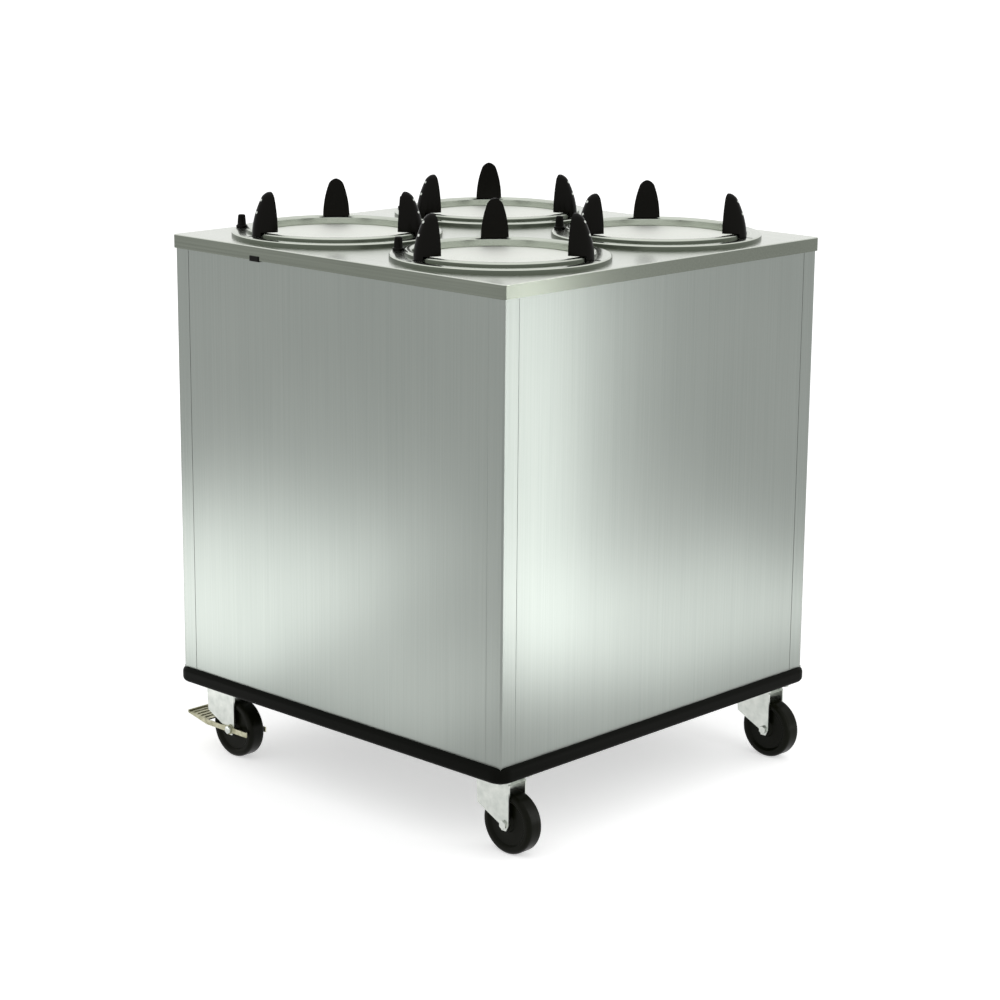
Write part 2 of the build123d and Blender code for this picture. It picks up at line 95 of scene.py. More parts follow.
# Hot-rolled and pickled sheet: a dull grey that mirrors nothing clearly, with soft blotches a
# few centimetres across where the acid bit unevenly.
mill_blotch = 45 * mm
mill_steel = new_finish("mill_finish_steel")
place = add_node(mill_steel, "ShaderNodeTexCoord")
blotches = add_node(
    mill_steel, "ShaderNodeTexNoise", {"Scale": 1 / mill_blotch, "Detail": 4.0},
    {"Vector": place.outputs["Object"]},
)
tone = add_node(mill_steel, "ShaderNodeValToRGB", {}, {"Fac": blotches.outputs["Fac"]})
tone.color_ramp.elements[0].position = 0.35
tone.color_ramp.elements[0].color = finish_colour("#7C807C")
tone.color_ramp.elements[1].position = 0.65
tone.color_ramp.elements[1].color = finish_colour("#969A95")
steel = add_node(
    mill_steel, "ShaderNodeBsdfPrincipled", {"Metallic": 1.0, "Roughness": 0.48},
    {"Base Color": tone.outputs["Color"]},
)
close_finish(mill_steel, steel)
dress(["base_frame"], mill_steel)


# ---- bumper ----
# One extruded strip of black vinyl, pushed on around the bottom edge of the cabinet.
# Its outer face is rounded and so are its corners; the extrusion leaves it softly matt.
bumper_side = 784 * mm
bumper_inside = 764 * mm
bumper_height = 26 * mm
bumper_bottom = 130 * mm
bumper_corner = 26 * mm
bumper_round = 8.5 * mm
corner_steps = 10
round_steps = 6
level_slack = 0.1 * mm
merge_gap = 0.002 * mm


def pick(*pieces):
    """Selects only these pieces, with the first of them active."""
    bpy.ops.object.select_all(action="DESELECT")
    for piece in pieces:
        piece.select_set(True)
    if pieces:
        bpy.context.view_layer.objects.active = pieces[0]


def start_piece(name):
    """Names the primitive that was just added and opens it for editing."""
    piece = bpy.context.object
    piece.name = name
    piece.data.name = name
    bpy.ops.object.mode_set(mode="EDIT")
    return piece


def select_parts(piece, kind, rule):
    """Selects the vertices or edges of the open piece whose end points meet a rule."""
    bpy.ops.mesh.select_mode(type=kind)
    bpy.ops.mesh.select_all(action="DESELECT")
    bpy.ops.object.mode_set(mode="OBJECT")
    mesh = piece.data
    for part in mesh.vertices if kind == "VERT" else mesh.edges:
        ends = [part] if kind == "VERT" else [mesh.vertices[i] for i in part.vertices]
        part.select = rule([piece.matrix_world @ end.co for end in ends])
    bpy.ops.object.mode_set(mode="EDIT")


def finish_piece(piece, smooth_angle=35):
    """Closes the open piece: its faces point outwards and its place is in its mesh."""
    bpy.ops.mesh.select_all(action="SELECT")
    bpy.ops.mesh.remove_doubles(threshold=merge_gap)
    bpy.ops.mesh.normals_make_consistent(inside=False)
    bpy.ops.object.mode_set(mode="OBJECT")
    pick(piece)
    bpy.ops.object.transform_apply(location=True, rotation=True, scale=True)
    bpy.ops.object.shade_smooth_by_angle(angle=math.radians(smooth_angle))
    return piece


def cut_away(piece, cutter):
    """Takes a cutter's shape out of a piece and removes the cutter."""
    pick(piece)
    modifier = piece.modifiers.new("cut", "BOOLEAN")
    modifier.operation = "DIFFERENCE"
    modifier.solver = "EXACT"
    modifier.object = cutter
    bpy.ops.object.modifier_apply(modifier="cut")
    bpy.data.objects.remove(cutter)


pick()
bpy.ops.mesh.primitive_cube_add(size=1, location=(0, 0, bumper_bottom + bumper_height / 2))
bumper = start_piece("bumper_strip")
bpy.ops.transform.resize(value=(bumper_side, bumper_side, bumper_height))
select_parts(bumper, "EDGE", lambda ends: abs(ends[0].z - ends[1].z) > bumper_height / 2)
bpy.ops.mesh.bevel(offset=bumper_corner, segments=corner_steps, affect="EDGES")
select_parts(bumper, "EDGE", lambda ends: abs(ends[0].z - ends[1].z) < level_slack)
bpy.ops.mesh.bevel(offset=bumper_round, segments=round_steps, affect="EDGES")
finish_piece(bumper)
pick()
bpy.ops.mesh.primitive_cube_add(size=1, location=(0, 0, bumper_bottom + bumper_height / 2))
body_space = start_piece("body_space")
bpy.ops.transform.resize(value=(bumper_inside, bumper_inside, 2 * bumper_height))
finish_piece(body_space)
cut_away(bumper, body_space)

# Extruded vinyl: a soft black with a wide, weak shine and a faint leathery skin. Its grain is
# about 0.3 mm, drawn here 2.5 mm wide so that it shows.
vinyl_grain = 2.5 * mm
bumper_vinyl = new_finish("extruded_black_vinyl")
place = add_node(bumper_vinyl, "ShaderNodeTexCoord")
grain = add_node(
    bumper_vinyl, "ShaderNodeTexNoise", {"Scale": 1 / vinyl_grain, "Detail": 3.0},
    {"Vector": place.outputs["Object"]},
)
tone = add_node(bumper_vinyl, "ShaderNodeValToRGB", {}, {"Fac": grain.outputs["Fac"]})
tone.color_ramp.elements[0].color = finish_colour("#080907")
tone.color_ramp.elements[1].color = finish_colour("#10110D")
relief = add_node(
    bumper_vinyl, "ShaderNodeBump", {"Strength": 0.25, "Distance": 0.1 * mm},
    {"Height": grain.outputs["Fac"]},
)
vinyl = add_node(
    bumper_vinyl, "ShaderNodeBsdfPrincipled",
    {"Roughness": 0.46, "IOR": 1.53, "Specular IOR Level": 0.03},
    {"Base Color": tone.outputs["Color"], "Normal": relief.outputs["Normal"]},
)
close_finish(bumper_vinyl, vinyl)
bumper.data.materials.append(bumper_vinyl)
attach(bumper, "cabinet")
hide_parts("bumper")


# ---- cabinet panels and corner posts ----
# Folded sheets of 18/8 stainless steel, set between folded corner posts.
# They are belt-brushed up and down, which gives a soft grey sheen with faint upright streaks.
streak_width = 3.0 * mm
streak_length = 400 * mm
cloud_size = 420 * mm
cloud_share = 0.4
streak_share = 0.5


def brushed_steel(name, dark, light, roughness, grain_scale):
    """Brushed stainless: long, faint streaks along the grain over broader, fainter clouds."""
    # The belt leaves scratches about 0.1 mm wide, drawn here 3 mm wide so that they show. They
    # blur what the steel mirrors into a soft sheen, and its tone wanders a little over the sheet.
    finish = new_finish(name)
    place = add_node(finish, "ShaderNodeTexCoord")
    stretched = add_node(
        finish, "ShaderNodeMapping", {"Scale": grain_scale},
        {"Vector": place.outputs["Object"]},
    )
    streaks = add_node(
        finish, "ShaderNodeTexNoise", {"Scale": 1.0, "Detail": 5.0, "Roughness": 0.65},
        {"Vector": stretched.outputs["Vector"]},
    )
    clouds = add_node(
        finish, "ShaderNodeTexNoise", {"Scale": 1 / cloud_size, "Detail": 2.0},
        {"Vector": place.outputs["Object"]},
    )
    faint_clouds = add_node(
        finish, "ShaderNodeMath", {"operation": "MULTIPLY", 1: cloud_share},
        {0: clouds.outputs["Fac"]},
    )
    blend = add_node(
        finish, "ShaderNodeMath",
        {"operation": "MULTIPLY_ADD", "name": "worn_share", 1: streak_share},
        {0: streaks.outputs["Fac"], 2: faint_clouds.outputs["Value"]},
    )
    tone = add_node(
        finish, "ShaderNodeValToRGB", {"name": "face_tone"}, {"Fac": blend.outputs["Value"]},
    )
    tone.color_ramp.elements[0].position = 0.2
    tone.color_ramp.elements[0].color = finish_colour(dark)
    tone.color_ramp.elements[1].position = 0.7
    tone.color_ramp.elements[1].color = finish_colour(light)
    relief = add_node(
        finish, "ShaderNodeBump", {"Strength": 0.08, "Distance": 0.04 * mm},
        {"Height": streaks.outputs["Fac"]},
    )
    steel = add_node(
        finish, "ShaderNodeBsdfPrincipled", {"Metallic": 1.0, "Roughness": roughness},
        {"Base Color": tone.outputs["Color"], "Normal": relief.outputs["Normal"]},
    )
    close_finish(finish, steel)
    return finish


upright_grain = (1 / streak_width, 1 / streak_width, 1 / streak_length)
cabinet_steel = brushed_steel(
    "brushed_stainless_upright", "#868C87", "#969B96", 0.32, upright_grain,
)
corners = {
    "front_left": (-1, -1),
    "front_right": (1, -1),
    "back_left": (-1, 1),
    "back_right": (1, 1),
}
panels = ["front_panel", "right_panel", "back_panel", "left_panel"]
dress(panels + [f"post_{corner}" for corner in corners], cabinet_steel)


# ---- deck ----
# One pressed sheet of stainless steel with a turned-down skirt and four round wells.
# It is brushed from side to side and polished a little brighter than the panels.
level_grain = (1 / streak_length, 1 / streak_width, 1 / streak_width)
deck_steel = brushed_steel("brushed_stainless_deck", "#C6CBC2", "#E2E5DD", 0.25, level_grain)
# The skirt is painted darker than the top, as painted shade on the turned-down side, while the top keeps
# the lighter brushed tone.
skirt_end = 912.2 * mm
top_start = 913.2 * mm
deck_parts = deck_steel.node_tree.nodes
skirt_tone = add_node(
    deck_steel, "ShaderNodeValToRGB", {}, {"Fac": deck_parts["worn_share"].outputs["Value"]},
)
skirt_tone.color_ramp.elements[0].position = 0.25
skirt_tone.color_ramp.elements[0].color = finish_colour("#656A61")
skirt_tone.color_ramp.elements[1].position = 0.65
skirt_tone.color_ramp.elements[1].color = finish_colour("#83887E")
place = add_node(deck_steel, "ShaderNodeTexCoord")
place_parts = add_node(deck_steel, "ShaderNodeSeparateXYZ", {}, {0: place.outputs["Object"]})
# Below the top's edge the sheet takes the skirt's painted shade, above it the brushed tone.
polished_share = add_node(
    deck_steel, "ShaderNodeMapRange", {"From Min": skirt_end, "From Max": top_start},
    {"Value": place_parts.outputs["Z"]},
)
# The colours of a mix node go in at sockets 6 and 7 and come out at socket 2.
deck_tone = add_node(
    deck_steel, "ShaderNodeMix", {"data_type": "RGBA"},
    {0: polished_share.outputs["Result"], 6: skirt_tone.outputs["Color"],
     7: deck_parts["face_tone"].outputs["Color"]},
)
deck_shader = deck_parts["Principled BSDF"]
deck_steel.node_tree.links.new(deck_tone.outputs[2], deck_shader.inputs["Base Color"])
dress(["deck"], deck_steel)


# ---- skirt clip ----
# A small hook of black nylon pushed over the lower edge of the front skirt.
# It is injection moulded in a spark-textured mould, as the guides and knobs are.

# Moulded nylon: nearly black, with a narrow, weak highlight that the spark texture breaks up.
# The real pimples are about 0.05 mm, drawn here 1.2 mm wide so that they show.
pimple = 1.2 * mm
black_nylon = new_finish("moulded_black_nylon")
place = add_node(black_nylon, "ShaderNodeTexCoord")
pimples = add_node(
    black_nylon, "ShaderNodeTexNoise", {"Scale": 1 / pimple, "Detail": 2.0},
    {"Vector": place.outputs["Object"]},
)
tone = add_node(black_nylon, "ShaderNodeValToRGB", {}, {"Fac": pimples.outputs["Fac"]})
tone.color_ramp.elements[0].color = finish_colour("#080705")
tone.color_ramp.elements[1].color = finish_colour("#100F0B")
relief = add_node(
    black_nylon, "ShaderNodeBump", {"Strength": 0.15, "Distance": 0.06 * mm},
    {"Height": pimples.outputs["Fac"]},
)
nylon = add_node(
    black_nylon, "ShaderNodeBsdfPrincipled",
    {"Roughness": 0.28, "IOR": 1.53, "Specular IOR Level": 0.07},
    {"Base Color": tone.outputs["Color"], "Normal": relief.outputs["Normal"]},
)
close_finish(black_nylon, nylon)
dress(["skirt_clip"], black_nylon)


# ---- dispenser rings ----
# Each is spun from stainless sheet: a flat rim, a half-round lip and a deep collar that hangs in
# the well. Three slots let the guides slide, and a curved one takes the clamp knob's stud.
deck_top = 914 * mm
well_offset = 190 * mm
ring_radius = 177 * mm
rim_rise = 8 * mm
rim_round = 2.5 * mm
ring_sheet = 1.5 * mm
throat = 140 * mm
bead_width = 12.8 * mm
bead_top = 15 * mm
bead_height = 4.9 * mm
collar_depth = 24 * mm
turned_sides = 144
edge_steps = 4
bead_steps = 16
guide_angles = [18, 138, 258]
pin_orbit = 157.5 * mm
guide_travel = 12 * mm
slot_half = 2.8 * mm
knob_angle = 216
cam_turn = 30
knob_orbit = 164.2 * mm
stud_slot_half = 3.3 * mm
stud_slot_steps = 24
stud_play = 1
cutter_height = 4 * ring_sheet
slot_merge_gap = 0.01 * mm


def arc(middle, size, start, end, steps):
    """Points of a quarter or half ellipse, as (radius, height) pairs."""
    turns = [math.radians(start + (end - start) * k / steps) for k in range(steps + 1)]
    return [(middle[0] + size[0] * math.cos(t), middle[1] + size[1] * math.sin(t)) for t in turns]


def turned(name, axis, profile, sides):
    """Turns a closed profile of (radius, place along the axis) pairs about the upright or the Y axis."""
    upright = axis == "Z"
    along = Vector((0, 0, 1)) if upright else Vector((0, 1, 0))
    first_radius, first_place = profile[0]
    pick()
    bpy.ops.mesh.primitive_circle_add(
        vertices=sides, radius=first_radius, location=along * first_place,
        rotation=(0, 0, 0) if upright else (math.radians(90), 0, 0),
    )
    piece = start_piece(name)
    bpy.ops.mesh.select_all(action="SELECT")
    radius, reach = first_radius, first_place
    for next_radius, next_reach in [*profile[1:], profile[0]]:
        step = along * (next_reach - reach)
        bpy.ops.mesh.extrude_region_move(TRANSFORM_OT_translate={"value": step})
        scale = next_radius / radius
        bpy.ops.transform.resize(
            value=(scale, scale, 1) if upright else (scale, 1, scale),
            center_override=along * next_reach,
        )
        radius, reach = next_radius, next_reach
    return finish_piece(piece)


def place_copy(template, name, location, angle=0):
    """Copies a piece modelled about the origin, with its own mesh, to its place."""
    pick(template)
    bpy.ops.object.duplicate(linked=False)
    copy = bpy.context.object
    copy.name = name
    copy.data.name = name
    copy.location = location
    copy.rotation_euler = (0, 0, math.radians(angle))
    bpy.ops.object.transform_apply(location=True, rotation=True, scale=True)
    return copy


rim_inner = throat + bead_width
bead_middle = (throat + bead_width / 2, bead_top - bead_height)
ring_profile = [
    (ring_radius, 0),
    *arc((ring_radius - rim_round, rim_rise - rim_round), (rim_round, rim_round), 0, 90, edge_steps),
    (rim_inner, rim_rise),
    *arc(bead_middle, (bead_width / 2, bead_height), 0, 180, bead_steps),
    (throat, -collar_depth),
    (throat + ring_sheet, -collar_depth),
    (throat + ring_sheet, rim_rise - ring_sheet),
    (ring_radius - ring_sheet, rim_rise - ring_sheet),
    (ring_radius - ring_sheet, 0),
]
ring_template = turned("ring_template", "Z", ring_profile, turned_sides)
for angle in guide_angles:
    pick()
    bpy.ops.mesh.primitive_cube_add(size=1)
    slot = start_piece("guide_slot")
    bpy.ops.transform.resize(value=(guide_travel + 2 * slot_half, 2 * slot_half, cutter_height))
    slot_middle = pin_orbit + guide_travel / 2
    bpy.ops.transform.translate(value=(slot_middle, 0, rim_rise - ring_sheet / 2))
    bpy.ops.object.mode_set(mode="OBJECT")
    slot.rotation_euler = (0, 0, math.radians(angle))
    bpy.ops.object.transform_apply(location=True, rotation=True, scale=True)
    cut_away(ring_template, slot)
pick()
bpy.ops.mesh.primitive_plane_add(size=1)
stud_slot = start_piece("stud_slot")
bpy.ops.transform.resize(value=(2 * stud_slot_half, cutter_height, 1))
bpy.ops.transform.rotate(value=math.radians(90), orient_axis="X", center_override=(0, 0, 0))
bpy.ops.transform.translate(value=(knob_orbit, 0, rim_rise - ring_sheet / 2))
bpy.ops.mesh.select_all(action="SELECT")
bpy.ops.mesh.spin(
    steps=stud_slot_steps, angle=math.radians(cam_turn + 2 * stud_play),
    center=(0, 0, 0), axis=(0, 0, 1),
)
finish_piece(stud_slot)
stud_slot.rotation_euler = (0, 0, math.radians(knob_angle - cam_turn - stud_play))
bpy.ops.object.transform_apply(location=True, rotation=True, scale=True)
cut_away(ring_template, stud_slot)
# The cuts leave some points a hair apart, which are joined here.
bpy.ops.object.mode_set(mode="EDIT")
bpy.ops.mesh.select_all(action="SELECT")
bpy.ops.mesh.remove_doubles(threshold=slot_merge_gap)
bpy.ops.object.mode_set(mode="OBJECT")

# The spinning tool leaves lines about 0.2 mm apart, drawn here 2.2 mm apart so that they show.
turning_line = 2.2 * mm
steep_slope = 0.5


def spun_steel(name, dark, light, roughness):
    """Spun stainless: fine rings left by the tool, centred on whichever well the piece is in."""
    # Light runs round it in bright arcs, cut by darker hairlines where the tool bit deeper.
    finish = new_finish(name)
    place = add_node(finish, "ShaderNodeTexCoord")
    folded = add_node(
        finish, "ShaderNodeVectorMath", {"operation": "ABSOLUTE"}, {0: place.outputs["Object"]},
    )
    centred = add_node(
        finish, "ShaderNodeVectorMath", {"operation": "SUBTRACT", 1: (well_offset, well_offset, 0)},
        {0: folded.outputs["Vector"]},
    )
    flat = add_node(
        finish, "ShaderNodeVectorMath", {"operation": "MULTIPLY", 1: (1, 1, 0)},
        {0: centred.outputs["Vector"]},
    )
    reach = add_node(
        finish, "ShaderNodeVectorMath", {"operation": "LENGTH"}, {0: flat.outputs["Vector"]},
    )
    rings = add_node(
        finish, "ShaderNodeTexNoise",
        {"noise_dimensions": "1D", "Scale": 1 / turning_line, "Detail": 3.0},
        {"W": reach.outputs["Value"]},
    )
    tone = add_node(finish, "ShaderNodeValToRGB", {}, {"Fac": rings.outputs["Fac"]})
    tone.color_ramp.elements[0].position = 0.3
    tone.color_ramp.elements[0].color = finish_colour(dark)
    tone.color_ramp.elements[1].position = 0.7
    tone.color_ramp.elements[1].color = finish_colour(light)
    relief = add_node(
        finish, "ShaderNodeBump", {"Strength": 0.1, "Distance": 0.04 * mm},
        {"Height": rings.outputs["Fac"]},
    )
    steel = add_node(
        finish, "ShaderNodeBsdfPrincipled", {"Metallic": 1.0, "Roughness": roughness},
        {"Base Color": tone.outputs["Color"], "Normal": relief.outputs["Normal"]},
    )
    close_finish(finish, steel)
    return finish


ring_steel = spun_steel("spun_stainless_ring", "#B4BAAF", "#D0D5CA", 0.2)
# The wall finish is the spun steel painted dark, a painted shade for the rings' upright outer walls.
wall_steel = spun_steel("spun_stainless_wall_painted_shade", "#3E433B", "#5F655A", 0.34)
ring_template.data.materials.append(ring_steel)
ring_template.data.materials.append(wall_steel)
# The outward upright walls are painted dark as painted shade; the flats and the crown of the lip keep
# the bright spun tone.
for face in ring_template.data.polygons:
    steep = abs(face.normal.z) < steep_slope
    outward = face.normal.x * face.center.x + face.normal.y * face.center.y > 0
    if steep and outward:
        face.material_index = 1
for corner, (side_x, side_y) in corners.items():
    well = (side_x * well_offset, side_y * well_offset, deck_top)
    ring = place_copy(ring_template, f"ring_{corner}", well)
    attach(ring, "cabinet")
    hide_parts(f"dispenser_ring_{corner}")
bpy.data.objects.remove(ring_template)


# ---- guide cams ----
# Each is a flat ring of laser-cut steel under the rim, with three spiral slots and a stud.
# It shows only through the slots in the rim, so it keeps the dull mill finish.
dress([f"guide_cam_{corner}" for corner in corners], mill_steel)


# ---- plate guides ----
# Moulded black nylon fingers, three to a ring, flat towards the plates and round behind. Two
# screws hold each to its foot, and a pin under the foot runs in the slots of rim and cam.
guide_reach = 127 * mm
guide_half_width = 23 * mm
guide_tip_half_width = 9 * mm
guide_width_power = 2.3
guide_depth = 34 * mm
guide_tip_depth = 11 * mm
guide_depth_power = 1.9
guide_height = 71.7 * mm
guide_dome = 9 * mm
dome_depth_share = 0.25
guide_sides = 40
guide_gap = 0.3 * mm
guide_edge = 1.4 * mm
sharp_edge = 50
foot_step = 27.4 * mm
foot_lift = 7 * mm
pin_radius = 2.5 * mm
pin_length = 8 * mm
pin_root = 0.5 * mm
small_round_sides = 24
cut_tolerance = 0.001 * mm
guide_seat = deck_top + rim_rise + guide_gap


def guide_size(height):
    """A guide's half width and depth at a height: it narrows faster upwards, to a round top."""
    rise = height / guide_height
    width = guide_half_width - (guide_half_width - guide_tip_half_width) * rise**guide_width_power
    depth = guide_depth - (guide_depth - guide_tip_depth) * rise**guide_depth_power
    above = max(0, height - (guide_height - guide_dome)) / guide_dome
    dome = math.sqrt(max(0, 1 - above**2))
    return width * dome, depth * (dome_depth_share + (1 - dome_depth_share) * dome)


def soften(piece, width):
    """Rounds the sharp edges of a finished piece, as its mould or die does."""
    rounding = piece.modifiers.new("softened_edges", "BEVEL")
    rounding.width = width
    rounding.segments = 3
    rounding.limit_method = "ANGLE"
    rounding.angle_limit = math.radians(sharp_edge)
    bpy.ops.object.modifier_apply(modifier="softened_edges")


straight_steps = 9
dome_steps = 6
dome_start = guide_height - guide_dome
levels = [dome_start * k / straight_steps for k in range(straight_steps + 1)]
for step in range(1, dome_steps + 1):
    levels.append(dome_start + guide_dome * math.sin(math.radians(90 * step / (dome_steps + 1))))
pick()
bpy.ops.mesh.primitive_circle_add(vertices=guide_sides, radius=1, fill_type="NGON")
guide_template = start_piece("guide_template")
bpy.ops.transform.resize(value=(guide_depth, guide_half_width, 1), center_override=(0, 0, 0))
bpy.ops.mesh.select_all(action="SELECT")
width, depth = guide_size(0)
height = 0
for next_height in levels[1:]:
    next_width, next_depth = guide_size(next_height)
    climb = (0, 0, next_height - height)
    bpy.ops.mesh.extrude_region_move(TRANSFORM_OT_translate={"value": climb})
    bpy.ops.transform.resize(
        value=(next_depth / depth, next_width / width, 1), center_override=(0, 0, next_height),
    )
    width, depth, height = next_width, next_depth, next_height
bpy.ops.mesh.select_all(action="SELECT")
bpy.ops.mesh.bisect(
    plane_co=(0, 0, 0), plane_no=(1, 0, 0), clear_inner=True, use_fill=True, threshold=cut_tolerance,
)
bpy.ops.mesh.select_all(action="SELECT")
bpy.ops.transform.translate(value=(guide_reach, 0, 0))
finish_piece(guide_template)
pick()
bpy.ops.mesh.primitive_cube_add(size=1)
foot_space = start_piece("foot_space")
bpy.ops.transform.resize(value=(2 * foot_step, 3 * guide_half_width, 2 * foot_lift))
bpy.ops.transform.translate(value=(guide_reach, 0, 0))
finish_piece(foot_space)
cut_away(guide_template, foot_space)
soften(guide_template, guide_edge)
pick()
bpy.ops.mesh.primitive_cylinder_add(
    vertices=small_round_sides, radius=pin_radius, depth=pin_length,
    location=(pin_orbit, 0, pin_root - pin_length / 2),
)
pin = finish_piece(start_piece("guide_pin"))
pick(guide_template, pin)
bpy.ops.object.join()
bpy.ops.object.shade_smooth_by_angle(angle=math.radians(40))
guide_template.data.materials.append(black_nylon)

screw_radius = 2.4 * mm
screw_head = 1.6 * mm
screw_sink = 0.2 * mm
screw_edge = 0.5 * mm
screw_drops = (13 * mm, 33 * mm)
lean_step = 1 * mm

# Bright zinc plate: a clean, bluish white metal, a little cloudy where the bath left it thicker.
zinc_patch = 14 * mm
bright_zinc = new_finish("bright_zinc_plate")
place = add_node(bright_zinc, "ShaderNodeTexCoord")
patches = add_node(
    bright_zinc, "ShaderNodeTexNoise", {"Scale": 1 / zinc_patch, "Detail": 3.0},
    {"Vector": place.outputs["Object"]},
)
tone = add_node(bright_zinc, "ShaderNodeValToRGB", {}, {"Fac": patches.outputs["Fac"]})
tone.color_ramp.elements[0].position = 0.3
tone.color_ramp.elements[0].color = finish_colour("#C2C7C1")
tone.color_ramp.elements[1].position = 0.7
tone.color_ramp.elements[1].color = finish_colour("#DADDD7")
zinc = add_node(
    bright_zinc, "ShaderNodeBsdfPrincipled", {"Metallic": 1.0, "Roughness": 0.32},
    {"Base Color": tone.outputs["Color"]},
)
close_finish(bright_zinc, zinc)

screws = []
for drop in screw_drops:
    height = guide_height - drop
    depth = guide_size(height)[1]
    lean = math.atan2(depth - guide_size(height + lean_step)[1], lean_step)
    pick()
    bpy.ops.mesh.primitive_cylinder_add(
        vertices=small_round_sides, radius=screw_radius, depth=screw_head,
        location=(guide_reach + depth - screw_sink, 0, height), rotation=(0, math.pi / 2 - lean, 0),
    )
    screw = finish_piece(start_piece("guide_screw"))
    soften(screw, screw_edge)
    bpy.ops.object.shade_smooth_by_angle(angle=math.radians(35))
    screws.append(screw)
pick(*screws)
bpy.ops.object.join()
screw_template = bpy.context.object
screw_template.data.materials.append(bright_zinc)

for corner, (side_x, side_y) in corners.items():
    for letter, angle in zip("abc", guide_angles):
        seat = (side_x * well_offset, side_y * well_offset, guide_seat)
        guide = place_copy(guide_template, f"guide_{corner}_{letter}", seat, angle)
        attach(guide, f"guide_{corner}_{letter}")
        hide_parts(f"plate_guide_{corner}_{letter}")
        pair = place_copy(screw_template, f"guide_screws_{corner}_{letter}", seat, angle)
        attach(pair, f"guide_{corner}_{letter}")
bpy.data.objects.remove(guide_template)
bpy.data.objects.remove(screw_template)


# ---- clamp knobs ----
# One black nylon knob to a ring, with a wide foot and a fluted grip. It screws down on the cam
# ring's stud and clamps the cam, and so the guides, where they stand.
knob_foot = 9.5 * mm
knob_foot_height = 4.5 * mm
knob_foot_round = 1.5 * mm
knob_neck = 0.5 * mm
knob_grip = 7.4 * mm
knob_top = 6.2 * mm
knob_top_round = 2.5 * mm
knob_height = 22 * mm
knob_bore = 3.2 * mm
knob_bore_depth = 14 * mm
knob_vent = 0.4 * mm
knob_flutes = 12
sides_per_flute = 8
flute_end = 1 * mm
flute_bottom = 5.5 * mm
flute_wave = -0.3
flute_pinch = 0.9
knob_profile = [
    (knob_bore, 0),
    (knob_foot, 0),
    *arc(
        (knob_foot - knob_foot_round, knob_foot_height - knob_foot_round),
        (knob_foot_round, knob_foot_round), 0, 90, edge_steps,
    ),
    (knob_grip, knob_foot_height),
    (knob_grip, knob_foot_height + knob_neck),
    ((knob_grip + knob_top) / 2, (knob_foot_height + knob_height) / 2),
    *arc(
        (knob_top - knob_top_round, knob_height - knob_top_round),
        (knob_top_round, knob_top_round), 0, 90, edge_steps,
    ),
    (knob_vent, knob_height),
    (knob_vent, knob_bore_depth),
    (knob_bore, knob_bore_depth),
]
knob_sides = sides_per_flute * knob_flutes
knob_template = turned("knob_template", "Z", knob_profile, knob_sides)
bpy.ops.object.mode_set(mode="EDIT")


def in_flute(points):
    """True for a point on the grip's side, in one of its upright grooves."""
    point = points[0]
    wave = math.cos(knob_flutes * math.atan2(point.y, point.x))
    on_grip = knob_foot_height + flute_end < point.z < knob_height - flute_end
    return on_grip and math.hypot(point.x, point.y) > flute_bottom and wave < flute_wave


select_parts(knob_template, "VERT", in_flute)
bpy.ops.transform.resize(value=(flute_pinch, flute_pinch, 1), center_override=(0, 0, 0))
finish_piece(knob_template, 30)
knob_template.data.materials.append(black_nylon)
stud_turn = math.radians(knob_angle)
for corner, (side_x, side_y) in corners.items():
    stud = (
        side_x * well_offset + knob_orbit * math.cos(stud_turn),
        side_y * well_offset + knob_orbit * math.sin(stud_turn),
        guide_seat,
    )
    knob = place_copy(knob_template, f"knob_{corner}", stud)
    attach(knob, f"knob_{corner}")
    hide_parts(f"clamp_knob_{corner}")
bpy.data.objects.remove(knob_template)


# ---- platforms, cages and springs ----
# Each carrier's top is a round pressed plate of satin stainless that the plates stand on.
# Its legs, the cage's rails and the wire springs below stay inside the cabinet.
platform_radius = 135.6 * mm
platform_sheet = 3 * mm
platform_round = 1.2 * mm
platform_edge = 1 * mm
platform_centre = 1 * mm
platform_top = 0.2 * mm
platform_profile = [
    (platform_centre, -platform_sheet - platform_top),
    (platform_radius - platform_edge, -platform_sheet - platform_top),
    (platform_radius, -platform_sheet),
    *arc(
        (platform_radius - platform_round, platform_top - platform_round),
        (platform_round, platform_round), 0, 90, edge_steps,
    ),
    (platform_centre, platform_top),
]
platform_template = turned("platform_template", "Z", platform_profile, turned_sides)
# The platforms' finer, brushed-over lines scatter the light into a soft sheen, and their near-white tone
# is painted reflection of the white surroundings.
platform_steel = spun_steel("satin_stainless_platform_painted_reflection", "#EAECE6", "#F2F4EE", 0.7)
platform_template.data.materials.append(platform_steel)
for corner, (side_x, side_y) in corners.items():
    well = (side_x * well_offset, side_y * well_offset, deck_top)
    platform = place_copy(platform_template, f"platform_{corner}", well)
    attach(platform, f"carrier_{corner}")
bpy.data.objects.remove(platform_template)
dress([f"carrier_{corner}" for corner in corners], platform_steel)
dress([f"cage_{corner}" for corner in corners], mill_steel)

# Drawn spring wire: bright coils with dark gaps between them, the gaps painted shade. The wire is 1.2 mm
# thick, and its coils are drawn 2.4 mm apart so that they show.
# A wave texture of scale 1 repeats every 0.314 m.
coil_pitch = 2.4 * mm
wave_repeat = 0.314
spring_wire = new_finish("coiled_wire_painted_gap_shade")
place = add_node(spring_wire, "ShaderNodeTexCoord")
coils = add_node(
    spring_wire, "ShaderNodeTexWave",
    {"wave_type": "BANDS", "bands_direction": "Z", "wave_profile": "SIN",
     "Scale": wave_repeat / coil_pitch},
    {"Vector": place.outputs["Object"]},
)
tone = add_node(spring_wire, "ShaderNodeValToRGB", {}, {"Fac": coils.outputs["Fac"]})
tone.color_ramp.elements[0].position = 0.2
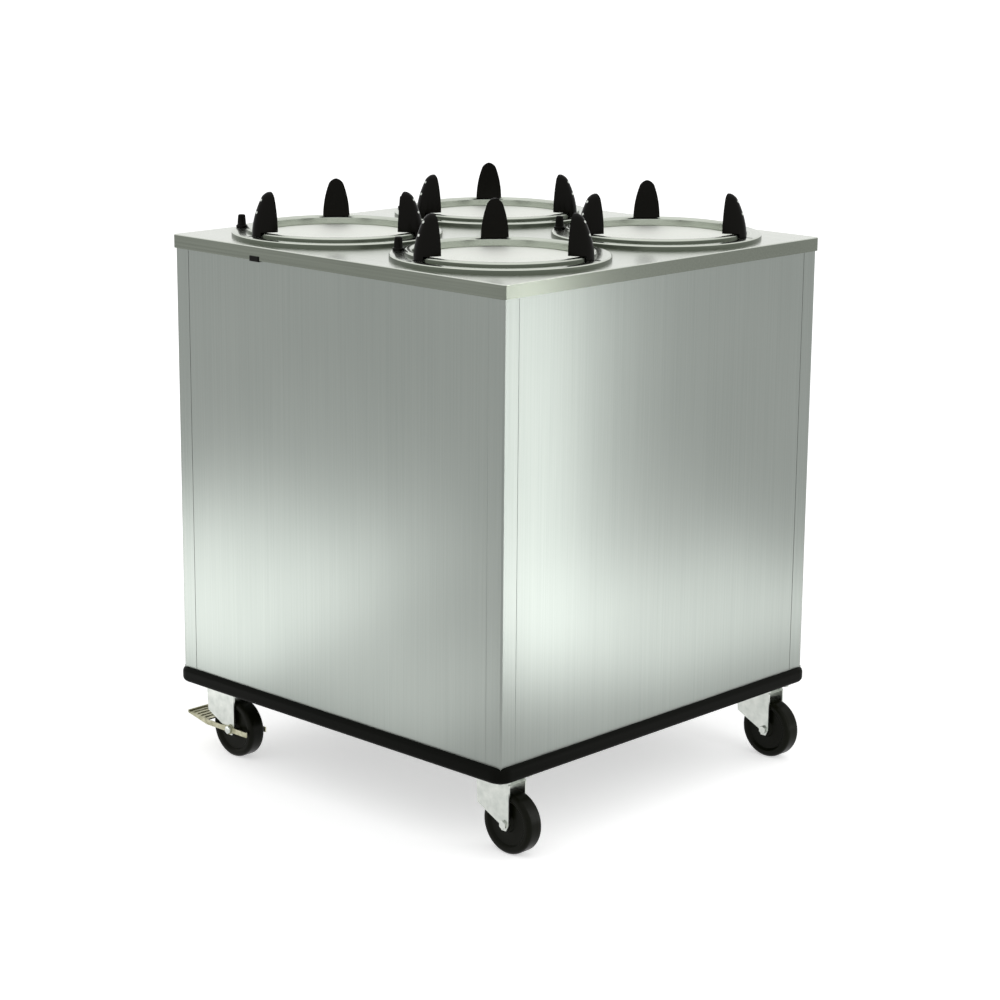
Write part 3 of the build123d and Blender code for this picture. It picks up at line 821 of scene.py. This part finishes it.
# The dark end of the ramp is the painted shade of the gaps between the coils.
tone.color_ramp.elements[0].color = finish_colour("#30302E")
tone.color_ramp.elements[1].position = 0.6
tone.color_ramp.elements[1].color = finish_colour("#9A9C98")
wire = add_node(
    spring_wire, "ShaderNodeBsdfPrincipled", {"Metallic": 1.0, "Roughness": 0.35},
    {"Base Color": tone.outputs["Color"]},
)
close_finish(spring_wire, wire)
dress([f"springs_{corner}" for corner in corners], spring_wire)


# ---- caster top plates and forks ----
# Pressed steel, bright zinc plated. Each plate is bolted under a gusset with four hexagon bolts,
# and the fork swivels on its race. The axle is held by a nut on each side.
caster_offset = 330 * mm
caster_trail = 30 * mm
axle_height = 50.8 * mm
plate_underside = 127 * mm
bolt_x = 40 * mm
bolt_y = 25 * mm
bolt_radius = 6.5 * mm
bolt_height = 4.8 * mm
fork_outside = 20.5 * mm
pedal_outside = 23.3 * mm
nut_gap = 0.3 * mm
nut_radius = 7.5 * mm
nut_height = 4 * mm
hexagon_edge = 0.6 * mm
dress(["caster_top_plates"] + [f"caster_fork_{corner}" for corner in corners], bright_zinc)


def hexagon(name, radius, height, location, rotation):
    """A hexagon bolt head or nut, its edges softened by the dies."""
    pick()
    bpy.ops.mesh.primitive_cylinder_add(
        vertices=6, radius=radius, depth=height, location=location, rotation=rotation,
    )
    piece = start_piece(name)
    bpy.ops.mesh.select_all(action="SELECT")
    bpy.ops.mesh.bevel(offset=hexagon_edge, segments=2, affect="EDGES")
    return finish_piece(piece, 25)


for corner, (side_x, side_y) in corners.items():
    plate_x = side_x * caster_offset
    plate_y = side_y * caster_offset
    for number, (along, across) in enumerate([(-1, -1), (1, -1), (1, 1), (-1, 1)], 1):
        bolt_z = plate_underside - bolt_height / 2
        head = (plate_x + along * bolt_x, plate_y + across * bolt_y, bolt_z)
        bolt = hexagon(f"plate_bolt_{corner}_{number}", bolt_radius, bolt_height, head, (0, 0, 0))
        bolt.data.materials.append(bright_zinc)
        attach(bolt, "cabinet")
    outside = pedal_outside + nut_gap if side_x < 0 else fork_outside
    for side, face in (("front", -1), ("back", 1)):
        middle = (plate_x + caster_trail, plate_y + face * (outside + nut_height / 2), axle_height)
        turned_flat = (math.radians(90), 0, 0)
        nut = hexagon(f"axle_nut_{corner}_{side}", nut_radius, nut_height, middle, turned_flat)
        nut.data.materials.append(bright_zinc)
        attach(nut, f"fork_{corner}")


# ---- wheels ----
# Solid moulded rubber on a dished hub, black with an olive cast where the light grazes it.
# The tread is slightly crowned and its shoulders are well rounded.
wheel_radius = 50.8 * mm
wheel_half = 16 * mm
wheel_sides = 96
tread_half = 4 * mm
tread_crown = 0.1 * mm
shoulder = 7 * mm
shoulder_steps = 8
tyre_edge = (40 * mm, wheel_half - 0.2 * mm)
tyre_lip = (38.5 * mm, wheel_half - 1.5 * mm)
dish_edge = (36 * mm, 11.5 * mm)
dish_bottom = (20 * mm, 10.5 * mm)
hub_foot = (15 * mm, 11.5 * mm)
hub_shoulder = (12.5 * mm, wheel_half - 0.6 * mm)
hub_radius = 11.5 * mm
wheel_bore = 4.2 * mm
# Half of the outline, from the tread over the shoulder and down the dished side to the bore.
wheel_side = [
    (wheel_radius - tread_crown, tread_half),
    *arc(
        (wheel_radius - shoulder, wheel_half - shoulder), (shoulder, shoulder), 0, 90, shoulder_steps,
    ),
    tyre_edge,
    tyre_lip,
    dish_edge,
    dish_bottom,
    hub_foot,
    hub_shoulder,
    (hub_radius, wheel_half),
    (wheel_bore, wheel_half),
]
mirrored_side = [(radius, -reach) for radius, reach in reversed(wheel_side)]
wheel_profile = [*wheel_side, *mirrored_side]
wheel_template = turned("wheel_template", "Y", wheel_profile, wheel_sides)

# Moulded rubber: black with an olive cast and a broad, dull shine along the shoulders. Its skin
# has a grain of about 0.5 mm, drawn here 3 mm wide so that it shows.
rubber_grain = 3 * mm
wheel_rubber = new_finish("moulded_black_rubber")
place = add_node(wheel_rubber, "ShaderNodeTexCoord")
grain = add_node(
    wheel_rubber, "ShaderNodeTexNoise", {"Scale": 1 / rubber_grain, "Detail": 3.0},
    {"Vector": place.outputs["Object"]},
)
tone = add_node(wheel_rubber, "ShaderNodeValToRGB", {}, {"Fac": grain.outputs["Fac"]})
tone.color_ramp.elements[0].color = finish_colour("#080904")
tone.color_ramp.elements[1].color = finish_colour("#13150B")
relief = add_node(
    wheel_rubber, "ShaderNodeBump", {"Strength": 0.2, "Distance": 0.08 * mm},
    {"Height": grain.outputs["Fac"]},
)
rubber = add_node(
    wheel_rubber, "ShaderNodeBsdfPrincipled",
    {"Roughness": 0.32, "IOR": 1.52, "Specular IOR Level": 0.07},
    {"Base Color": tone.outputs["Color"], "Normal": relief.outputs["Normal"]},
)
close_finish(wheel_rubber, rubber)
wheel_template.data.materials.append(wheel_rubber)
for corner, (side_x, side_y) in corners.items():
    hub = (side_x * caster_offset + caster_trail, side_y * caster_offset, axle_height)
    wheel = place_copy(wheel_template, f"tyre_{corner}", hub)
    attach(wheel, f"wheel_{corner}")
    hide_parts(f"wheel_{corner}")
bpy.data.objects.remove(wheel_template)


# ---- brake pedals ----
# Pressed steel yokes on the axles of the two left casters, yellow zinc plated.
# The toe pad has four pressed ribs for grip.

# Yellow chromate over zinc: a pale greenish gold that shifts in tone over a centimetre or so,
# with the shine of the zinc below it.
passivate = 9 * mm
yellow_zinc = new_finish("yellow_zinc_plate")
place = add_node(yellow_zinc, "ShaderNodeTexCoord")
patches = add_node(
    yellow_zinc, "ShaderNodeTexNoise", {"Scale": 1 / passivate, "Detail": 4.0},
    {"Vector": place.outputs["Object"]},
)
tone = add_node(yellow_zinc, "ShaderNodeValToRGB", {}, {"Fac": patches.outputs["Fac"]})
tone.color_ramp.elements[0].position = 0.3
tone.color_ramp.elements[0].color = finish_colour("#96957A")
tone.color_ramp.elements[1].position = 0.7
tone.color_ramp.elements[1].color = finish_colour("#C4C2AA")
zinc = add_node(
    yellow_zinc, "ShaderNodeBsdfPrincipled", {"Metallic": 1.0, "Roughness": 0.36},
    {"Base Color": tone.outputs["Color"]},
)
close_finish(yellow_zinc, zinc)
braked_corners = ("front_left", "back_left")
dress([f"brake_pedal_{corner}" for corner in braked_corners], yellow_zinc)

toe_reach = 80.8 * mm
toe_top = 59.3 * mm
pad_end = 30.8 * mm
pad_end_top = 55.3 * mm
rib_width = 38 * mm
rib_thickness = 3 * mm
rib_rise = 1.5 * mm
rib_edge = 1.0 * mm
rib_shares = (0.2, 0.4, 0.6, 0.8)
pad_slope = math.atan2(toe_top - pad_end_top, toe_reach - pad_end)
for corner in braked_corners:
    side_x, side_y = corners[corner]
    ribs = []
    for share in rib_shares:
        rib_x = side_x * caster_offset - toe_reach + share * (toe_reach - pad_end)
        rib_z = toe_top - share * (toe_top - pad_end_top)
        pick()
        bpy.ops.mesh.primitive_cube_add(
            size=1, location=(rib_x, side_y * caster_offset, rib_z), rotation=(0, pad_slope, 0),
        )
        rib = bpy.context.object
        rib.scale = (rib_thickness, rib_width, 2 * rib_rise)
        bpy.ops.object.transform_apply(location=True, rotation=True, scale=True)
        rib = start_piece("toe_rib")
        bpy.ops.mesh.select_all(action="SELECT")
        bpy.ops.mesh.bevel(offset=rib_edge, segments=3, affect="EDGES")
        ribs.append(finish_piece(rib))
    pick(*ribs)
    bpy.ops.object.join()
    pad_ribs = bpy.context.object
    pad_ribs.name = f"toe_ribs_{corner}"
    pad_ribs.data.name = pad_ribs.name
    pad_ribs.data.materials.append(yellow_zinc)
    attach(pad_ribs, f"pedal_{corner}")


# ---- studio: floor, lamps, world and camera ----
# A plain white floor under broad, soft lamps. The camera stands where the photograph's did.
floor_side = 300
camera_lift = 0.5
world_level = 0.8
pick()
bpy.ops.mesh.primitive_plane_add(size=floor_side, location=(0, 0, 0))
floor = bpy.context.object
floor.name = "floor"
# Matt white paint. It keeps the cart's soft shadow, and metal mirrors it as plain white.
floor_white = new_finish("white_floor")
ray = add_node(floor_white, "ShaderNodeLightPath")
paint = add_node(floor_white, "ShaderNodeBsdfDiffuse", {"Color": finish_colour("#F4F4F4")})
lift = add_node(
    floor_white, "ShaderNodeMath", {"operation": "MULTIPLY", 1: camera_lift},
    {0: ray.outputs["Is Camera Ray"]},
)
lifted = add_node(
    floor_white, "ShaderNodeEmission", {"Color": (1, 1, 1, 1)}, {"Strength": lift.outputs["Value"]},
)
white = add_node(
    floor_white, "ShaderNodeAddShader", {}, {0: paint.outputs[0], 1: lifted.outputs[0]},
)
mirrored = add_node(
    floor_white, "ShaderNodeMath", {"operation": "MAXIMUM"},
    {0: ray.outputs["Is Glossy Ray"], 1: ray.outputs["Is Transmission Ray"]},
)
glow = add_node(floor_white, "ShaderNodeEmission", {"Color": (1, 1, 1, 1), "Strength": 1.0})
seen = add_node(
    floor_white, "ShaderNodeMixShader", {},
    {0: mirrored.outputs["Value"], 1: white.outputs[0], 2: glow.outputs[0]},
)
close_finish(floor_white, seen)
floor.data.materials.append(floor_white)


def soft_lamp(name, location, target, width, height, power):
    """A soft oblong lamp that faces a point."""
    lamp_data = bpy.data.lights.new(name, "AREA")
    lamp_data.shape = "RECTANGLE"
    lamp_data.size = width
    lamp_data.size_y = height
    lamp_data.energy = power
    lamp = bpy.data.objects.new(name, lamp_data)
    bpy.context.scene.collection.objects.link(lamp)
    lamp.location = location
    aim = Vector(target) - Vector(location)
    lamp.rotation_euler = aim.to_track_quat("-Z", "Y").to_euler()


# One broad lamp overhead, and four low ones whose light the panels mirror as soft patches.
soft_lamp(
    "top_lamp", location=(0.3, -0.6, 3.6), target=(0, 0, 0.9), width=4.0, height=4.0, power=6,
)
soft_lamp(
    "corner_lamp", location=(0.98, 0.29, 0.43), target=(0.385, -0.33, 0.49),
    width=0.08, height=0.82, power=1.65,
)
soft_lamp(
    "right_low_lamp", location=(0.95, 0.75, 0.07), target=(0.78, 0.75, 0.7),
    width=0.77, height=0.36, power=1.7,
)
soft_lamp(
    "front_low_lamp", location=(-0.94, -0.92, 0.1), target=(-0.94, -0.75, 0.7),
    width=0.86, height=0.55, power=3.4,
)
soft_lamp(
    "front_foot_lamp", location=(-0.24, -0.8, 0.07), target=(-0.24, -0.6, 0.7),
    width=0.45, height=0.3, power=0.34,
)

# The sky is white where it is seen or mirrored, and a little dimmer where it lights.
world = bpy.data.worlds.new("studio_world")
bpy.context.scene.world = world
world.use_nodes = True
world.node_tree.nodes.clear()
ray = add_node(world, "ShaderNodeLightPath")
mirrored = add_node(
    world, "ShaderNodeMath", {"operation": "MAXIMUM"},
    {0: ray.outputs["Is Glossy Ray"], 1: ray.outputs["Is Transmission Ray"]},
)
shown = add_node(
    world, "ShaderNodeMath", {"operation": "MAXIMUM"},
    {0: ray.outputs["Is Camera Ray"], 1: mirrored.outputs["Value"]},
)
level = add_node(
    world, "ShaderNodeMapRange", {"To Min": world_level, "To Max": 1.0},
    {"Value": shown.outputs["Value"]},
)
sky = add_node(
    world, "ShaderNodeBackground", {"Color": (1, 1, 1, 1)}, {"Strength": level.outputs["Result"]},
)
add_node(world, "ShaderNodeOutputWorld", {}, {"Surface": sky.outputs[0]})

camera_place = (2.98161, -3.11682, 1.49633)
camera_yaw = 43.6123
camera_pitch = 13.5691
camera_roll = 0.4762
camera_data = bpy.data.cameras.new("photo_camera")
camera_data.lens = 92.48
camera_data.sensor_width = 36
camera = bpy.data.objects.new("photo_camera", camera_data)
bpy.context.scene.collection.objects.link(camera)
look = Euler((math.radians(90 - camera_pitch), 0, math.radians(camera_yaw))).to_matrix().to_4x4()
roll = Matrix.Rotation(math.radians(camera_roll), 4, "Z")
camera.matrix_world = Matrix.Translation(camera_place) @ look @ roll
bpy.context.scene.camera = camera
bpy.context.scene.view_settings.view_transform = "Standard"
